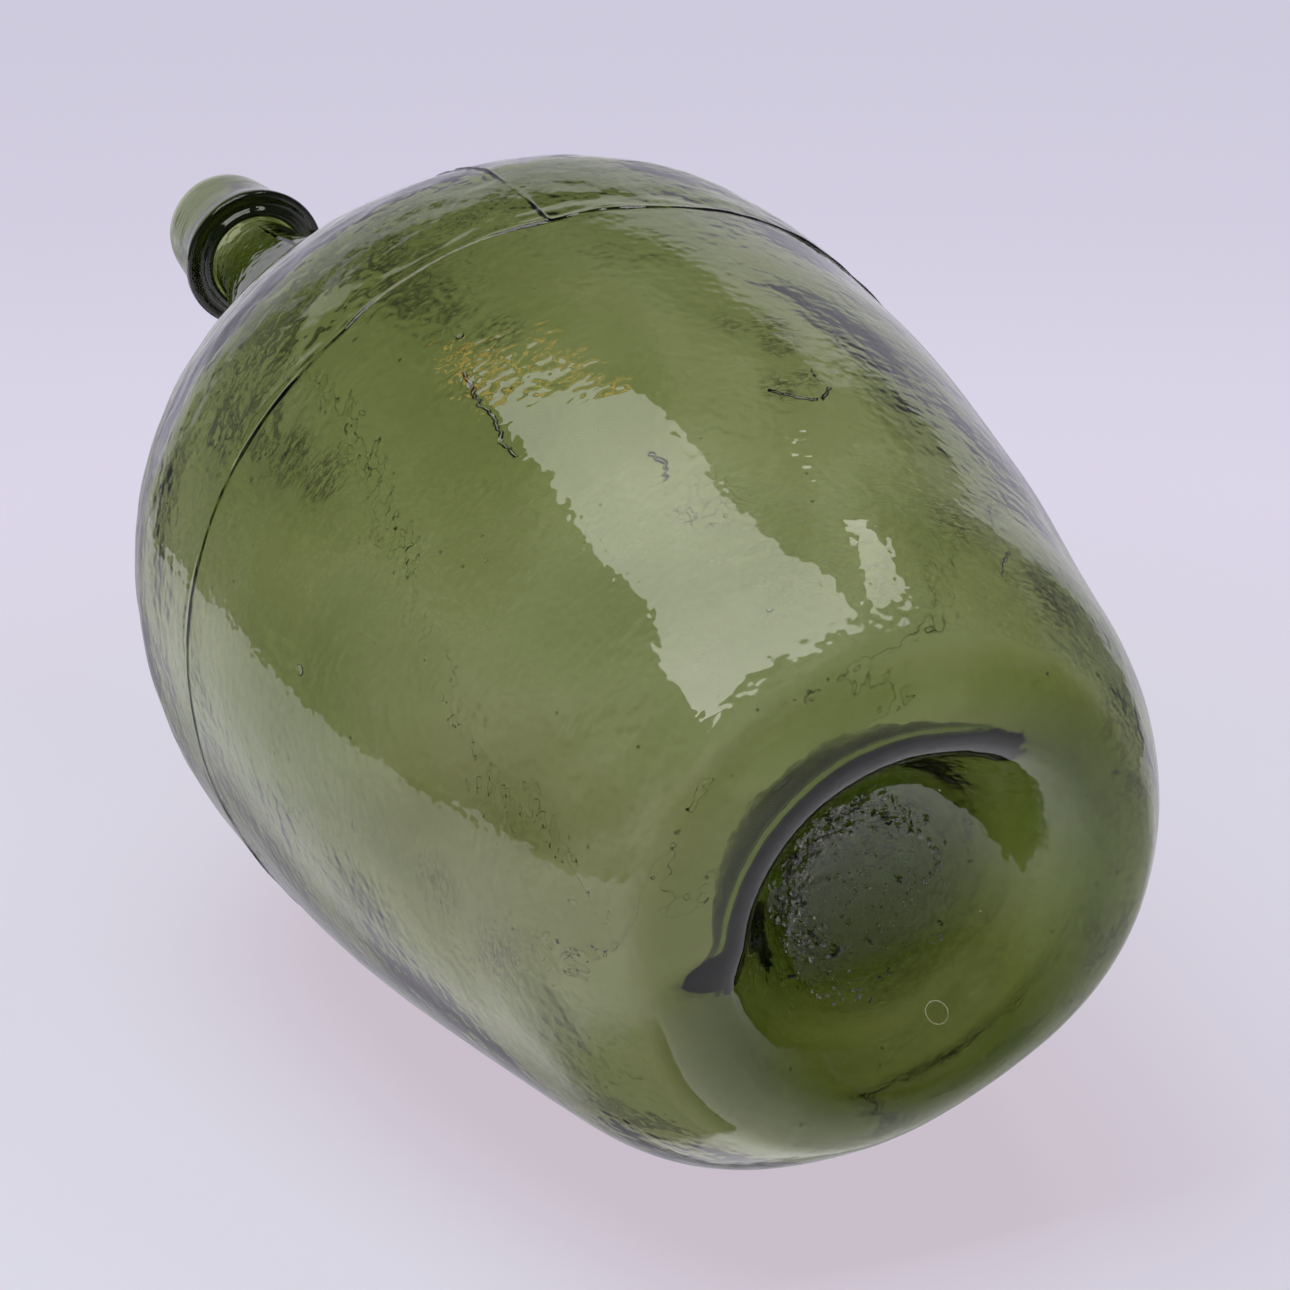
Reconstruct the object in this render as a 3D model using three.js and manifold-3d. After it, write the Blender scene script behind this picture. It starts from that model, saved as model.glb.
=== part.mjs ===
// A hand-finished olive-green glass demijohn: a mould-blown body with a long
// shoulder and neck, a separate collar of glass tooled round the mouth, and the
// rough ring of glass that the pontil rod left inside the push-up of the base.
// Millimetres, +Z up. The origin is on the body's axis, level with the flat
// resting ring of the base.
import * as THREE from "three";
import { mergeVertices } from "three/addons/utils/BufferGeometryUtils.js";
import Module from "manifold-3d";

const wasm = await Module();
wasm.setup();

// ---------------------------------------------------------------- dimensions
const BODY_RADIUS = 120; // widest part of the body, at WIDEST_Z
const WIDEST_Z = 228;
const PUSH_UP_OFF_X = 0.6; // how far the push-up sits out of centre
const PUSH_UP_OFF_Y = -0.4;
const TUCK = 8.2; // how far the base is drawn in at the ring it stands on
const BORE_RADIUS = 11.3; // inside of the neck at the mouth
const NECK_END_Z = 509.4; // the neck ends under the collar
const NECK_END_RADIUS = 14.4;
const COLLAR_LOW_Z = 474.4; // lower bead of the collar
const COLLAR_TOP_Z = 515; // the mouth
const COLLAR_RADIUS = 23.9; // widest, along its lower edge
const GAP = 0.3; // clearance between neighbouring pieces of glass
const HEEL_FULL = 3.6; // on one side the wall over the heel is fuller
const FLANK_FLAT = 3.2; // the body is a little slimmer on one side
const SCAR_RADIUS_IN = 15; // ring scar of the pontil
const SCAR_RADIUS_OUT = 25;
const SCAR_PROUD = 1.7;
const BODY_SEGMENTS = 44;
const COLLAR_SEGMENTS = 40;

// -------------------------------------------------------------- the profiles
// Points are [radius, height]. The outer wall from the resting ring to the neck.
// The lowest part differs: HEEL belongs to the side of the base where the rim of
// the push-up is a tight roll, and HEEL_SOFT to the side where it is soft.
const HEEL = [
  [60.6, 0],
  [62.4, 0.5],
  [64.6, 1.5],
  [67.2, 3.6],
];
const HEEL_SOFT = [
  [62.6, 0],
  [64.4, 0.5],
  [66.4, 1.5],
  [68.5, 3.6],
];
const OUTER_WALL = [
  [71.6, 8.5],
  [77.6, 17.5],
  [83.4, 28],
  [88.6, 40],
  [94, 60],
  [103.6, 96],
  [110.6, 132],
  [116.2, 168],
  [119.3, 203],
  [BODY_RADIUS, WIDEST_Z - 4],
  [118.5, 242],
  [110.6, 265.5],
  [99.4, 288],
  [83.8, 312],
  [61.6, 336],
  [43.6, 360],
  [34.6, 384],
  [28.2, 408],
  [22.6, 432],
  [18.4, 452],
  [15.6, 470],
  [14.8, 486],
  [NECK_END_RADIUS, NECK_END_Z],
];
// The inner wall from the neck down to the bottom of the inside.
const INNER_WALL = [
  [BORE_RADIUS, NECK_END_Z],
  [BORE_RADIUS + 0.1, 486],
  [11.9, 470],
  [14.5, 451],
  [18.4, 430.5],
  [23.9, 406],
  [30.4, 382],
  [39.8, 357.6],
  [58.8, 333.4],
  [81.3, 309.6],
  [96.9, 285.6],
  [107.6, 262.9],
  [114.4, 247],
  [116.8, 228],
  [116.1, 204],
  [112.9, 168],
  [107.2, 132],
  [100.4, 96],
  [91, 60.8],
  [85.6, 42],
];
// The bottom of the inside, out to in, ending over the top of the push-up.
const FLOOR = [
  [80.2, 29.4],
  [74.4, 19.2],
  [68.9, 11.2],
  [65, 7.3],
  [62.6, 5.75],
  [60.4, 5.5],
  [58.6, 6.1],
  [57.2, 7.7],
  [56, 10.8],
  [54.4, 15.4],
  [51.7, 21.2],
  [47.4, 27.4],
  [41.2, 33.6],
  [32, 39.6],
  [21.2, 44],
  [10.6, 46.4],
  [0, 47],
];
const FLOOR_SOFT = [
  [80.6, 29.2],
  [75.3, 19],
  [71.3, 12.3],
  [68.2, 8.9],
  [64.8, 7.6],
  [61.4, 8.1],
  [58.2, 9.8],
  [55.2, 12.6],
  [52.2, 15.9],
  [49.2, 19.4],
  [45.8, 23.6],
  [41.6, 28.2],
  [36.4, 33.2],
  [29, 38.9],
  [20.2, 43.6],
  [10.4, 46.3],
  [0, 47],
];
// The push-up, from its top to the flat ring that the bottle stands on.
const PUSH_UP = [
  [0, 32],
  [8.8, 31.5],
  [17.8, 29.9],
  [27.3, 27],
  [35.3, 23.2],
  [41.2, 19.2],
  [45.4, 15.2],
  [48.1, 11.6],
  [49.7, 8.6],
  [50.6, 6.25],
  [51.4, 4.6],
  [52.8, 2.78],
  [54.75, 1.27],
  [56.6, 0],
];
const PUSH_UP_SOFT = [
  [0, 32],
  [8.8, 31.3],
  [17.6, 29.2],
  [26.4, 25.7],
  [33.6, 21.5],
  [39, 17.6],
  [43.3, 14],
  [46.7, 10.9],
  [49.6, 8.2],
  [52, 6],
  [54, 4.2],
  [55.9, 2.7],
  [57.6, 1.4],
  [59.2, 0],
];

function spline(points, count) {
  const curve = new THREE.SplineCurve(
    points.map(([r, z]) => new THREE.Vector2(r, z)),
  );
  return curve.getSpacedPoints(count);
}

function vectors(points) {
  return points.map(([r, z]) => new THREE.Vector2(r, z));
}

function smoothstep(x, a, b) {
  const t = Math.min(1, Math.max(0, (x - a) / (b - a)));
  return t * t * (3 - 2 * t);
}

// Height of the push-up's skin at a radius from its own centre.
function skin(points, r) {
  for (let i = 1; i < points.length; i++) {
    const [r0, z0] = points[i - 1],
      [r1, z1] = points[i];
    if (r <= r1) return z0 + ((z1 - z0) * (r - r0)) / (r1 - r0);
  }
  return 0;
}

// ---------------------------------------------- the shape is not quite round
// The shoulder swings a few millimetres to one side and the neck leans back to
// the other, as a blown bottle does.
const LEAN_X = -0.6773,
  LEAN_Y = -0.7357;
const LEAN = [
  [0, 0],
  [225, 0],
  [262, 1.8],
  [290, 3.6],
  [325, 2.6],
  [370, -0.4],
  [420, -3.2],
  [470, -4.8],
  [520, -5],
];
function lean(z) {
  if (z <= LEAN[0][1]) return 0;
  for (let i = 1; i < LEAN.length; i++) {
    const [z0, a] = LEAN[i - 1],
      [z1, b] = LEAN[i];
    if (z <= z1) {
      const t = (z - z0) / (z1 - z0);
      return a + (b - a) * t * t * (3 - 2 * t);
    }
  }
  return LEAN[LEAN.length - 1][1];
}

// A bell of 1 at the azimuth centre, in degrees, with the given width in radians.
function bell(az, centre, width) {
  const d = az - (centre * Math.PI) / 180;
  return Math.exp(-((Math.atan2(Math.sin(d), Math.cos(d)) / width) ** 2));
}

// How far the wall is pressed in: slim on one side, fuller over part of the heel.
function heelPress(az, z) {
  const full = smoothstep(z, 2, 26) * (1 - smoothstep(z, 50, 115));
  const flank = smoothstep(z, 120, 200) * (1 - smoothstep(z, 250, 285));
  return (
    FLANK_FLAT * bell(az, -112, 0.6) * flank -
    HEEL_FULL * bell(az, -147, 0.42) * full
  );
}

// How far the base is drawn in towards its centre, on one side with the heel.
function baseTuck(az, r, z) {
  const side = bell(az, 152, 0.66);
  const ring = (1 - smoothstep(r, 58, 72)) * (1 - smoothstep(z, 30, 62));
  const heel = 1.16 * (1 - smoothstep(z, 20, 58));
  return TUCK * smoothstep(r, 24, 56) * (ring * (1 - side) + heel * side);
}

// 0 where the rim of the push-up is a tight roll, 1 where it is soft.
function softness(az) {
  const d = (Math.atan2(Math.sin(az), Math.cos(az)) * 180) / Math.PI;
  return smoothstep(d, 0, 50) + smoothstep(-d, 87, 103);
}

// How much of the push-up's offset a point of the base takes.
function baseSlide(r, z) {
  return z < 60 ? 1 - smoothstep(r, 59.5, 74) : 0;
}

function handMade(geometry, pressed) {
  const p = geometry.getAttribute("position");
  for (let i = 0; i < p.count; i++) {
    let x = p.getX(i),
      y = p.getY(i);
    const z = p.getZ(i);
    const r = Math.hypot(x, y);
    let slide = 0;
    if (pressed) {
      const near = smoothstep(r, 50, 62);
      const az = Math.atan2(y, x);
      const w = r - heelPress(az, z) * near;
      slide = baseSlide(w, z);
      if (r > 1) {
        const k = (w - baseTuck(az, w, z)) / r;
        x *= k;
        y *= k;
      }
    }
    const s = lean(z);
    p.setXYZ(
      i,
      x + s * LEAN_X + slide * PUSH_UP_OFF_X,
      y + s * LEAN_Y + slide * PUSH_UP_OFF_Y,
      z,
    );
  }
  return geometry;
}

// A profile of [radius, height] points turned round the Z axis.
function turned(profile, segments) {
  const g = new THREE.LatheGeometry(profile, segments);
  g.rotateX(Math.PI / 2);
  g.deleteAttribute("normal");
  g.deleteAttribute("uv");
  return g;
}

// The same, going over from one profile to the other round the axis.
function turnedBetween(tight, soft, segments) {
  const g = turned(tight, segments),
    h = turned(soft, segments);
  const p = g.getAttribute("position"),
    q = h.getAttribute("position");
  for (let i = 0; i < p.count; i++) {
    const r = Math.max(Math.hypot(p.getX(i), p.getY(i)), 1e-9),
      w = Math.hypot(q.getX(i), q.getY(i));
    const f = softness(Math.atan2(p.getY(i), p.getX(i)));
    const k = (r + (w - r) * f) / r;
    p.setXYZ(
      i,
      p.getX(i) * k,
      p.getY(i) * k,
      p.getZ(i) + (q.getZ(i) - p.getZ(i)) * f,
    );
  }
  return g;
}

function solid(geometry) {
  const merged = mergeVertices(geometry, 1e-3);
  return new wasm.Manifold(
    new wasm.Mesh({
      numProp: 3,
      vertProperties: new Float32Array(merged.getAttribute("position").array),
      triVerts: new Uint32Array(merged.getIndex().array),
    }),
  );
}

function shape(manifold) {
  const m = manifold.getMesh();
  const g = new THREE.BufferGeometry();
  const v = new Float32Array(m.numVert * 3);
  for (let i = 0; i < m.numVert; i++)
    v.set(m.vertProperties.subarray(i * m.numProp, i * m.numProp + 3), i * 3);
  g.setAttribute("position", new THREE.BufferAttribute(v, 3));
  g.setIndex(new THREE.BufferAttribute(new Uint32Array(m.triVerts), 1));
  g.computeVertexNormals();
  return g;
}

// ---------------------------------------------------------------- the pieces
// Blown body: push-up, rounded rim, resting ring, heel, body, shoulder, neck,
// then back down the inside, so that the hollow opens at the mouth.
function bodyProfile(pushUp, heel, floor) {
  return [
    ...vectors(pushUp),
    ...vectors(heel),
    ...spline(OUTER_WALL, 29),
    ...spline(INNER_WALL, 19),
    ...vectors(floor),
  ];
}

// Collar: a gather of glass wound over the neck end and tooled to a taper, with
// a small bead under its lower edge. It covers the end of the neck.
function collarProfile() {
  const inside = [
    [BORE_RADIUS, NECK_END_Z + GAP],
    [NECK_END_RADIUS + GAP, NECK_END_Z + GAP],
    [14.8 + GAP + 0.05, 486],
    [15.5 + GAP, 475.8],
  ];
  const outside = [
    [16.2, COLLAR_LOW_Z],
    [17.6, 474.7],
    [18.4, 475.9],
    [18.9, 477],
    [20.6, 476.9],
    [22.3, 476.5],
    [23.5, 476.9],
    [COLLAR_RADIUS, 478.4],
    [23.3, 481.4],
    [22.2, 486],
    [21.1, 492],
    [20.4, 498],
    [19.9, 503.5],
    [19.1, 508.6],
    [17.6, 512.4],
    [15.6, 514.6],
    [13.9, COLLAR_TOP_Z],
    [12.6, 514.5],
    [11.7, 512.9],
    [BORE_RADIUS, NECK_END_Z + GAP],
  ];
  return [...inside, ...outside].map(([r, z]) => new THREE.Vector2(r, z));
}

// Scar: a low uneven ring that follows the push-up just under its top.
function scarProfile(pushUp) {
  const at = (r, off) => new THREE.Vector2(r, skin(pushUp, r) - off);
  const mid = (SCAR_RADIUS_IN + SCAR_RADIUS_OUT) / 2;
  return [
    at(SCAR_RADIUS_IN, GAP + 0.25),
    at(SCAR_RADIUS_IN + 1.6, GAP + SCAR_PROUD * 0.8),
    at(mid - 1, GAP + SCAR_PROUD * 0.75),
    at(mid + 2, GAP + SCAR_PROUD),
    at(SCAR_RADIUS_OUT - 1.2, GAP + SCAR_PROUD * 0.85),
    at(SCAR_RADIUS_OUT, GAP + 0.35),
    at(SCAR_RADIUS_OUT - 1, GAP + 0.1),
    at(mid, GAP + 0.1),
    at(SCAR_RADIUS_IN + 1, GAP + 0.1),
    at(SCAR_RADIUS_IN, GAP + 0.25),
  ];
}

function unevenRing(geometry) {
  const p = geometry.getAttribute("position");
  for (let i = 0; i < p.count; i++) {
    const x = p.getX(i),
      y = p.getY(i),
      z = p.getZ(i);
    const az = Math.atan2(y, x),
      r = Math.hypot(x, y),
      f = softness(az);
    // only the lower, broken face is uneven; it never rises into the body
    const over = skin(PUSH_UP, r) * (1 - f) + skin(PUSH_UP_SOFT, r) * f;
    const low = over - z > GAP + 0.6 ? 1 : 0;
    const bump =
      0.5 * Math.sin(7 * az + 0.6) + 0.3 * Math.sin(12 * az + 2.1 + r * 0.7);
    p.setXYZ(
      i,
      x + PUSH_UP_OFF_X,
      y + PUSH_UP_OFF_Y,
      z - low * (0.35 + 0.45 * bump),
    );
  }
  return geometry;
}

const group = new THREE.Group();
function piece(name, manifold, colour, roughness) {
  const mesh = new THREE.Mesh(
    shape(manifold),
    new THREE.MeshStandardMaterial({
      color: colour,
      roughness,
      metalness: 0,
      transparent: true,
      opacity: 0.6,
    }),
  );
  mesh.name = name;
  group.add(mesh);
}

piece(
  "bottle_body",
  solid(
    handMade(
      turnedBetween(
        bodyProfile(PUSH_UP, HEEL, FLOOR),
        bodyProfile(PUSH_UP_SOFT, HEEL_SOFT, FLOOR_SOFT),
        BODY_SEGMENTS,
      ),
      true,
    ),
  ),
  0x6e7a4a,
  0.06,
);
piece(
  "applied_collar",
  solid(handMade(turned(collarProfile(), COLLAR_SEGMENTS), false)),
  0x66724a,
  0.06,
);
piece(
  "pontil_scar",
  solid(
    unevenRing(
      turnedBetween(
        scarProfile(PUSH_UP),
        scarProfile(PUSH_UP_SOFT),
        BODY_SEGMENTS,
      ),
    ),
  ),
  0x8b9280,
  0.5,
);

export default group;
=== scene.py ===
import math

import bpy
import numpy as np
from mathutils import Matrix, Vector


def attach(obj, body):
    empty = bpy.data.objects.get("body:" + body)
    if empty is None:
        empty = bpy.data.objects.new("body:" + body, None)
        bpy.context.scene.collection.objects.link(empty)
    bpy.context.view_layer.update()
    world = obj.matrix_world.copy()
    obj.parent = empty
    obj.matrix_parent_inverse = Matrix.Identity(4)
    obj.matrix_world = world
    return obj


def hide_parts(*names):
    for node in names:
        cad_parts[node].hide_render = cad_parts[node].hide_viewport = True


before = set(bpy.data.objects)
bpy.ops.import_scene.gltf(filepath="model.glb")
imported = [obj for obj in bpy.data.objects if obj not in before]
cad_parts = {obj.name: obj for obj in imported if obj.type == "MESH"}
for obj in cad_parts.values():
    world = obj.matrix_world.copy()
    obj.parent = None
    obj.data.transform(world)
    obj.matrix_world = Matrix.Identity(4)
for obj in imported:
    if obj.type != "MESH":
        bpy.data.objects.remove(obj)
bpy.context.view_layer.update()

MM = 0.001
PHOTO = 1290  # the photograph's width and height, for the lens

# ------------------------------------------------------------------ noise
_rs = np.random.RandomState(4217)
GRAD = _rs.normal(size=(256, 3))
GRAD /= np.linalg.norm(GRAD, axis=1)[:, None]
PERM = _rs.permutation(256)


def noise3(p, seed):
    """Gradient noise of about unit rms. p is an array of points measured in cells."""
    p = np.asarray(p, float)
    i = np.floor(p).astype(np.int64)
    f = p - i
    u = f * f * f * (f * (f * 6 - 15) + 10)
    total = np.zeros(p.shape[:-1])
    for dx in (0, 1):
        for dy in (0, 1):
            for dz in (0, 1):
                h = PERM[(i[..., 0] + dx + seed * 53) & 255]
                h = PERM[(h + i[..., 1] + dy) & 255]
                h = PERM[(h + i[..., 2] + dz) & 255]
                g = GRAD[h]
                w = (
                    (u[..., 0] if dx else 1 - u[..., 0])
                    * (u[..., 1] if dy else 1 - u[..., 1])
                    * (u[..., 2] if dz else 1 - u[..., 2])
                )
                total += w * (
                    g[..., 0] * (f[..., 0] - dx)
                    + g[..., 1] * (f[..., 1] - dy)
                    + g[..., 2] * (f[..., 2] - dz)
                )
    return total * 4.3


def wob(p, wave, seed, stretch=(1.0, 1.0, 1.0)):
    """Noise over points in millimetres whose bumps are about wave millimetres apart."""
    return noise3(np.asarray(p) / (0.62 * wave) / np.array(stretch) + 31.7, seed)


def smooth(x, a, b):
    t = np.clip((np.asarray(x, float) - a) / (b - a), 0, 1)
    return t * t * (3 - 2 * t)


def wrap(a):
    return (np.asarray(a, float) + 180.0) % 360.0 - 180.0


# ----------------------------------------------------------------- curves
def natural_spline(t, y):
    """Second derivatives of the natural cubic spline through (t, y)."""
    n = len(t)
    h = np.diff(t)
    a = np.zeros((n, n))
    b = np.zeros((n,) + y.shape[1:])
    a[0, 0] = a[-1, -1] = 1
    for i in range(1, n - 1):
        a[i, i - 1], a[i, i], a[i, i + 1] = h[i - 1], 2 * (h[i - 1] + h[i]), h[i]
        b[i] = 6 * ((y[i + 1] - y[i]) / h[i] - (y[i] - y[i - 1]) / h[i - 1])
    return np.linalg.solve(a, b)


def spline_at(t, y, m, q):
    i = np.clip(np.searchsorted(t, q, side="right") - 1, 0, len(t) - 2)
    h = (t[i + 1] - t[i])[:, None]
    a = (t[i + 1] - q)[:, None] / h
    b = (q - t[i])[:, None] / h
    return (
        a * y[i]
        + b * y[i + 1]
        + ((a**3 - a) * m[i] + (b**3 - b) * m[i + 1]) * h * h / 6
    )


def curve(points, per_mm=4.0, soften=0.0):
    """A smooth dense polyline through [radius, height] points, with its arc length."""
    p = np.array(points, float)
    t = np.r_[0, np.cumsum(np.hypot(*np.diff(p, axis=0).T))]
    m = natural_spline(t, p)
    q = np.linspace(0, t[-1], int(t[-1] * per_mm) + 2)
    c = spline_at(t, p, m, q)
    if soften:
        k = int(3 * soften * per_mm)
        w = np.exp(-0.5 * (np.arange(-k, k + 1) / (soften * per_mm)) ** 2)
        w /= w.sum()
        ends = np.r_[2 * c[0] - c[k:0:-1], c, 2 * c[-1] - c[-2 : -k - 2 : -1]]
        c = np.stack([np.convolve(ends[:, j], w, "valid") for j in (0, 1)], 1)
    s = np.r_[0, np.cumsum(np.hypot(*np.diff(c, axis=0).T))]
    return s, c


def along(s, c, q):
    return np.stack([np.interp(q, s, c[:, 0]), np.interp(q, s, c[:, 1])], 1)


def normals_of(c):
    """Unit normals on the right-hand side of a [radius, height] polyline that runs up."""
    d = np.gradient(c, axis=0)
    d /= np.maximum(np.hypot(d[:, 0], d[:, 1]), 1e-9)[:, None]
    return np.stack([d[:, 1], -d[:, 0]], 1)


# ------------------------------------------------- the form, in millimetres
OUTER_WALL = [
    (59.5, 0.0), (62.0, 0.35), (64.6, 1.5), (67.2, 3.6), (71.6, 8.5), (77.6, 17.5),
    (83.4, 28), (88.6, 40), (94, 60), (103.6, 96), (110.6, 132), (116.2, 168),
    (119.2, 203), (119.85, 224), (118.4, 242), (110.6, 265.5), (99.4, 288),
    (83.8, 312), (61.6, 336), (43.6, 360), (34.6, 384), (28.2, 408), (22.6, 432),
    (18.4, 452), (15.6, 470), (14.8, 486), (14.4, 509.4),
]
INNER_WALL = [
    (11.3, 509.4), (11.4, 486), (11.9, 470), (14.5, 451), (18.4, 430.5), (23.9, 406),
    (30.4, 382), (39.8, 357.6), (58.8, 333.4), (81.3, 309.6), (96.9, 285.6),
    (107.6, 262.9), (114.4, 247), (116.6, 228), (116.0, 204), (112.9, 168),
    (107.2, 132), (100.4, 96), (91.0, 60.8), (85.6, 42), (80.2, 29.4), (74.4, 19.2),
    (68.9, 11.2), (65.0, 7.3), (62.6, 5.75), (60.4, 5.5), (58.6, 6.1), (57.2, 7.7),
    (56.0, 10.8), (54.4, 15.4), (51.7, 21.2), (47.4, 27.4), (41.2, 33.6), (32.0, 39.6),
    (21.2, 44.0), (10.6, 46.4), (0.0, 47.0),
]
INNER_SOFT = [
    (107.2, 132), (100.4, 96), (91.0, 60.8), (85.3, 42), (79.9, 29.3), (74.2, 19.4),
    (70.4, 13.4), (67.6, 10.6), (64.4, 9.5), (61.4, 10.0), (58.4, 11.7), (55.6, 14.4),
    (52.6, 17.7), (49.6, 21.2), (46.2, 25.2), (42.0, 29.6), (36.8, 34.2), (29.2, 39.4),
    (20.3, 43.7), (10.4, 46.3), (0.0, 47.0),
]
# The push-up from its top to the ring that the bottle stands on, and how far
# out of centre it sits. Its rim is a tight roll on one side and soft on the other.
PUSH_UP = [
    (0.0, 32.0), (8.8, 31.5), (17.8, 29.9), (27.3, 27.0), (35.3, 23.2), (41.2, 19.2),
    (45.4, 15.2), (48.1, 11.6), (49.7, 8.6), (50.6, 6.25), (51.4, 4.6), (52.8, 2.78),
    (54.75, 1.27), (57.0, 0.32), (59.5, 0.0),
]
PUSH_UP_SOFT = [
    (0.0, 32.0), (8.8, 31.3), (17.6, 29.2), (26.4, 25.7), (33.6, 21.5), (39.0, 17.6),
    (43.3, 14.0), (46.7, 10.9), (49.6, 8.2), (52.0, 6.0), (54.0, 4.2), (55.9, 2.7),
    (57.8, 1.4), (59.7, 0.45), (61.6, 0.0),
]
DOME_H = 32.0
OFF_CENTRE = np.array([0.6, -0.4])
SCAR_AT = np.array([-4.6, -1.0])  # the broken ring sits further out of centre
LEAN_DIR = np.array([-0.6773, -0.7357])
LEAN = np.array([
    (200, 0), (225, 0.05), (262, 1.8), (290, 3.35), (325, 2.6), (370, -0.4),
    (420, -3.2), (470, -4.8), (520, -5.0),
], float)
_lm = natural_spline(LEAN[:, 0], LEAN[:, 1:2])


def lean(z):
    z = np.asarray(z, float)
    q = np.clip(z.ravel(), 200, 520)
    v = spline_at(LEAN[:, 0], LEAN[:, 1:2], _lm, q)[:, 0]
    return np.where(z.ravel() <= 200, 0, v * smooth(z.ravel(), 200, 235)).reshape(
        z.shape
    )


def softness(az):
    """0 where the rim of the push-up is a tight roll, 1 where it is soft."""
    a = wrap(az)
    return smooth(a, 0.0, 50.0) + smooth(-a, 87.0, 103.0)


def base_slide(r, z):
    """How much of the push-up's offset a point at radius r of the base takes."""
    return (1 - smooth(r, 59.5, 74.0)) * (np.asarray(z) < 60.0)


def base_tuck(az, r, z):
    """How far the base is drawn in towards its centre, on one side with the heel."""
    side = np.exp(-((np.radians(wrap(az - 152.0)) / 0.66) ** 2))
    ring = (1 - smooth(r, 58.0, 72.0)) * (1 - smooth(z, 30.0, 62.0))
    heel = 1.16 * (1 - smooth(z, 20.0, 58.0))
    return 8.2 * smooth(r, 24.0, 56.0) * (ring * (1 - side) + heel * side)


def heel_press(az, z):
    """How far the wall is pressed in: flat on one side of the heel, fuller on another."""
    d = np.radians(wrap(az + 147.0))
    flat = -3.6 * np.exp(-((d / 0.42) ** 2)) * smooth(z, 2.0, 26.0) * (1 - smooth(z, 50.0, 115.0))
    d = np.radians(wrap(az + 112.0))
    flat = flat + 3.2 * np.exp(-((d / 0.60) ** 2)) * smooth(z, 120.0, 200.0) * (1 - smooth(z, 250.0, 285.0))
    e = np.radians(wrap(az - 68.0))
    up2 = np.maximum(0, z) / 22.0
    full = 1.3 * np.exp(-((e / 0.55) ** 2)) * up2 * np.exp(1 - up2)
    return flat - full


# Height of the shoulder seam round the bottle, by azimuth in degrees.
SEAM = np.array([
    (-180, 200.0), (-150, 202.0), (-125, 204.0), (-111, 206.5), (-100, 204.0),
    (-75, 201.7), (-50, 199.7), (-40, 198.6), (-33, 200.2), (-20, 200.0),
    (-14, 199.0), (-8.2, 196.3), (-3.0, 198.2), (2, 197.6), (8, 197.4), (14, 198.5),
    (21, 201.4), (28, 203.5), (45, 203.0), (75, 201.5), (110, 200.0), (150, 199.6),
    (163, 198.8), (171, 196.8), (176, 198.6), (180, 200.0),
], float)
_sa = np.arange(-180, 180, 0.5)
_sz = np.interp(_sa, SEAM[:, 0], SEAM[:, 1])
_k = np.exp(-0.5 * (np.arange(-8, 9) / 2.4) ** 2)
_sz = np.convolve(np.r_[_sz[-8:], _sz, _sz[:8]], _k / _k.sum(), "valid")
VERTICAL_SEAMS = (-8.2, 171.0)


def seam_z(az):
    a = wrap(az)
    return np.interp(a, np.r_[_sa, 180.0], np.r_[_sz, _sz[0]])


def columns(n):
    near = [0, 0.11, 0.22, 0.33, 0.46, 0.62, 0.85, 1.15]
    cols = [
        a
        for a in (np.arange(n) * 360.0 / n)
        if min(abs(wrap(a - s)) for s in VERTICAL_SEAMS) > 1.6
    ]
    for s in VERTICAL_SEAMS:
        for o in near:
            cols += [s + o] + ([s - o] if o else [])
    cols = sorted(c % 360.0 for c in cols)
    if len(cols) % 2:
        cols.pop(len(cols) // 4)
    return np.array(cols)


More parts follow.
